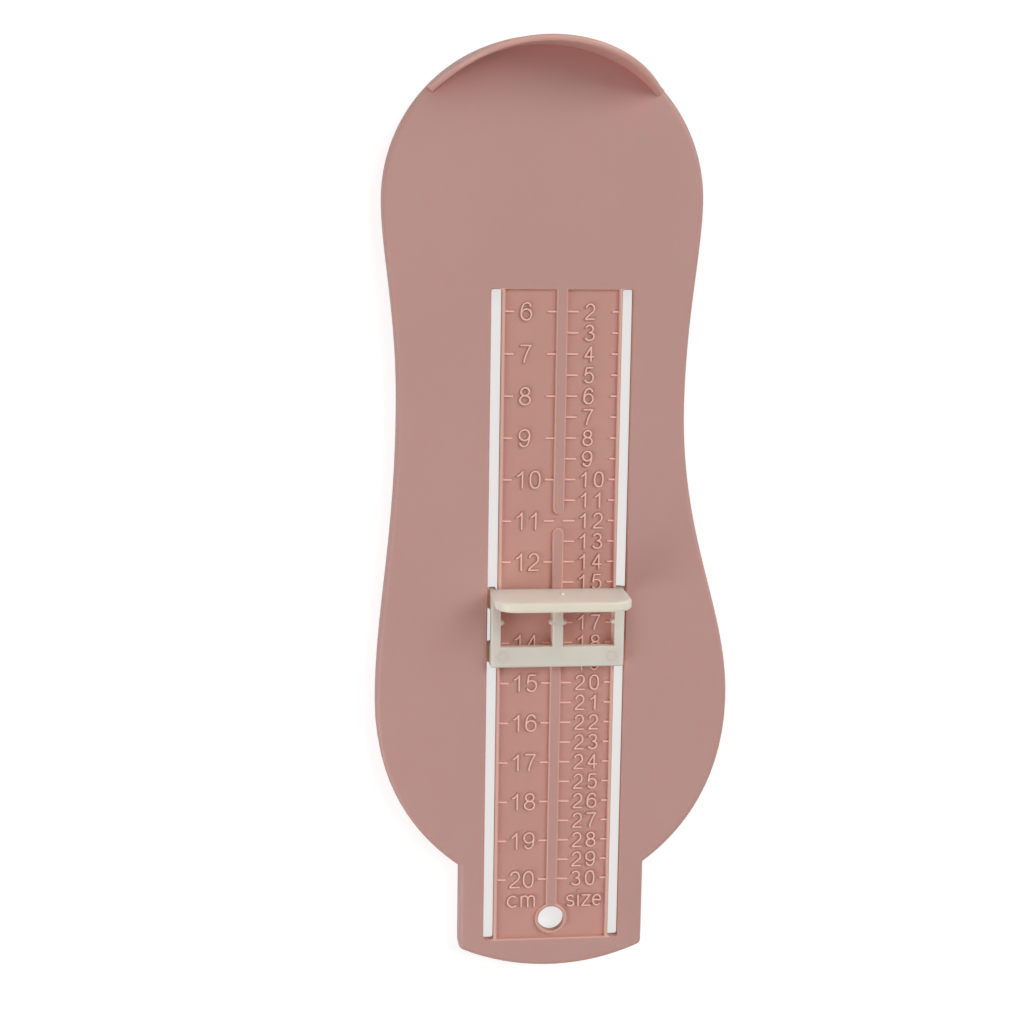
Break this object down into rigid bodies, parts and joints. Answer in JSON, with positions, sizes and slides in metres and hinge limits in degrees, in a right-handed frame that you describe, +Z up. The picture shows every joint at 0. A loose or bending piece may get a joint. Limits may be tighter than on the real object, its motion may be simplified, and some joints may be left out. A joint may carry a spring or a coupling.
{
  "type": "foot measuring device",
  "caption": "Flat foot-shaped gauge with an upright heel wall, a recessed centimetre scale and an upright toe stop that slides in long slots.",
  "frame": {"origin": "under the middle of the board's outline, on the plane it rests on", "axes": "+Y along the foot towards the heel wall, +X to the right with the scales read from the toe end, +Z up out of the board"},
  "size_m": [0.086, 0.2256, 0.0212],
  "materials": {
    "board_plastic": "moulded, satin, dusty pink-brown",
    "slider_plastic": "moulded, milky and slightly translucent off-white"
  },
  "bodies": {
    "board": {"measuring_board": "board_plastic"},
    "slider": {"toe_slider": "slider_plastic"}
  },
  "joints": [
    {"name": "toe_stop_slide", "type": "slide", "parent": "board", "child": "slider", "axis": [0, 1, 0], "range_m": [-0.07, 0.0715]}
  ]
}
